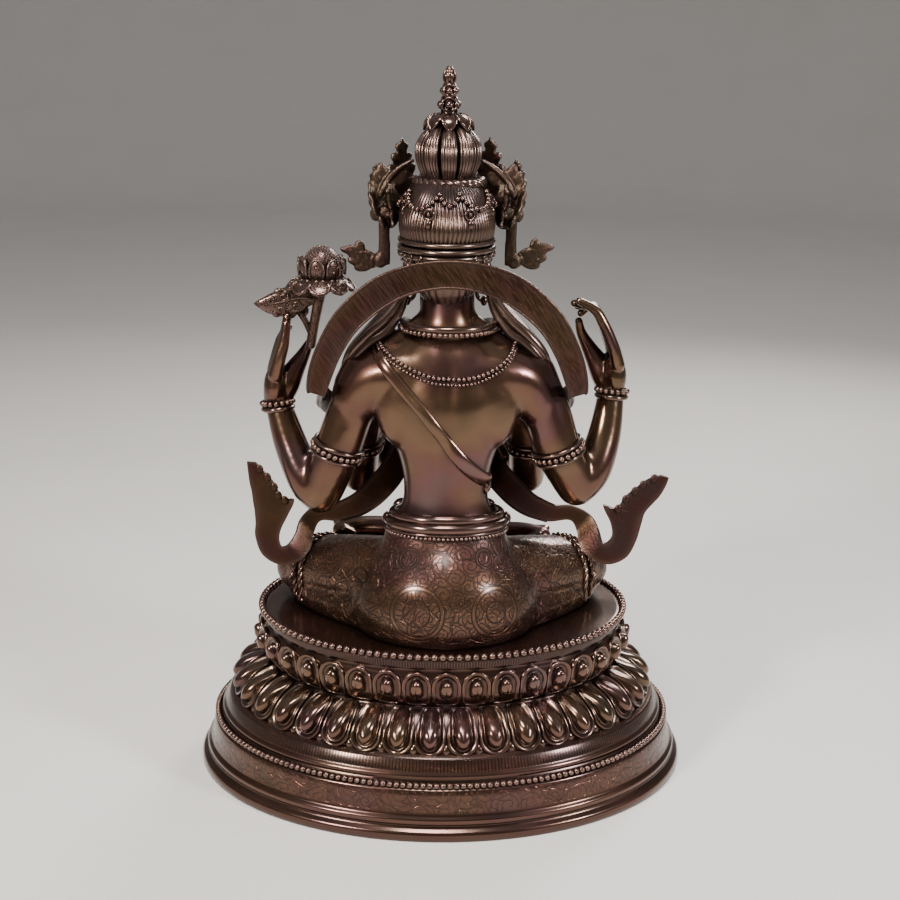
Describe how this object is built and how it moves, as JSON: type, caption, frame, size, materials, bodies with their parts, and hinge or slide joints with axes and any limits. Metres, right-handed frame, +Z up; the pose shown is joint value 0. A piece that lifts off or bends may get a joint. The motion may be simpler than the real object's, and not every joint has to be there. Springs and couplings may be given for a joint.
{
  "type": "seated deity statue",
  "caption": "Seated four-armed Avalokiteshvara in dark oxidised copper on an oval double-lotus pedestal, with leaf crown, arching scarf and a lotus.",
  "frame": {"origin": "centre of the pedestal's underside, on the surface that it stands on", "axes": "+Z up, the figure looks along -Y, its left hand with the lotus is on +X"},
  "size_m": [0.2358, 0.1858, 0.3293],
  "materials": {
    "oxidised_copper": "satin, dark brown oxidised copper with brighter worn edges",
    "dark_copper": "duller dark patina on beaten sheet"
  },
  "bodies": {
    "root": {"lotus_pedestal": "oxidised_copper", "figure": "oxidised_copper", "crown": "dark_copper", "scarf": "dark_copper", "lotus_flower": "oxidised_copper"}
  },
  "joints": []
}
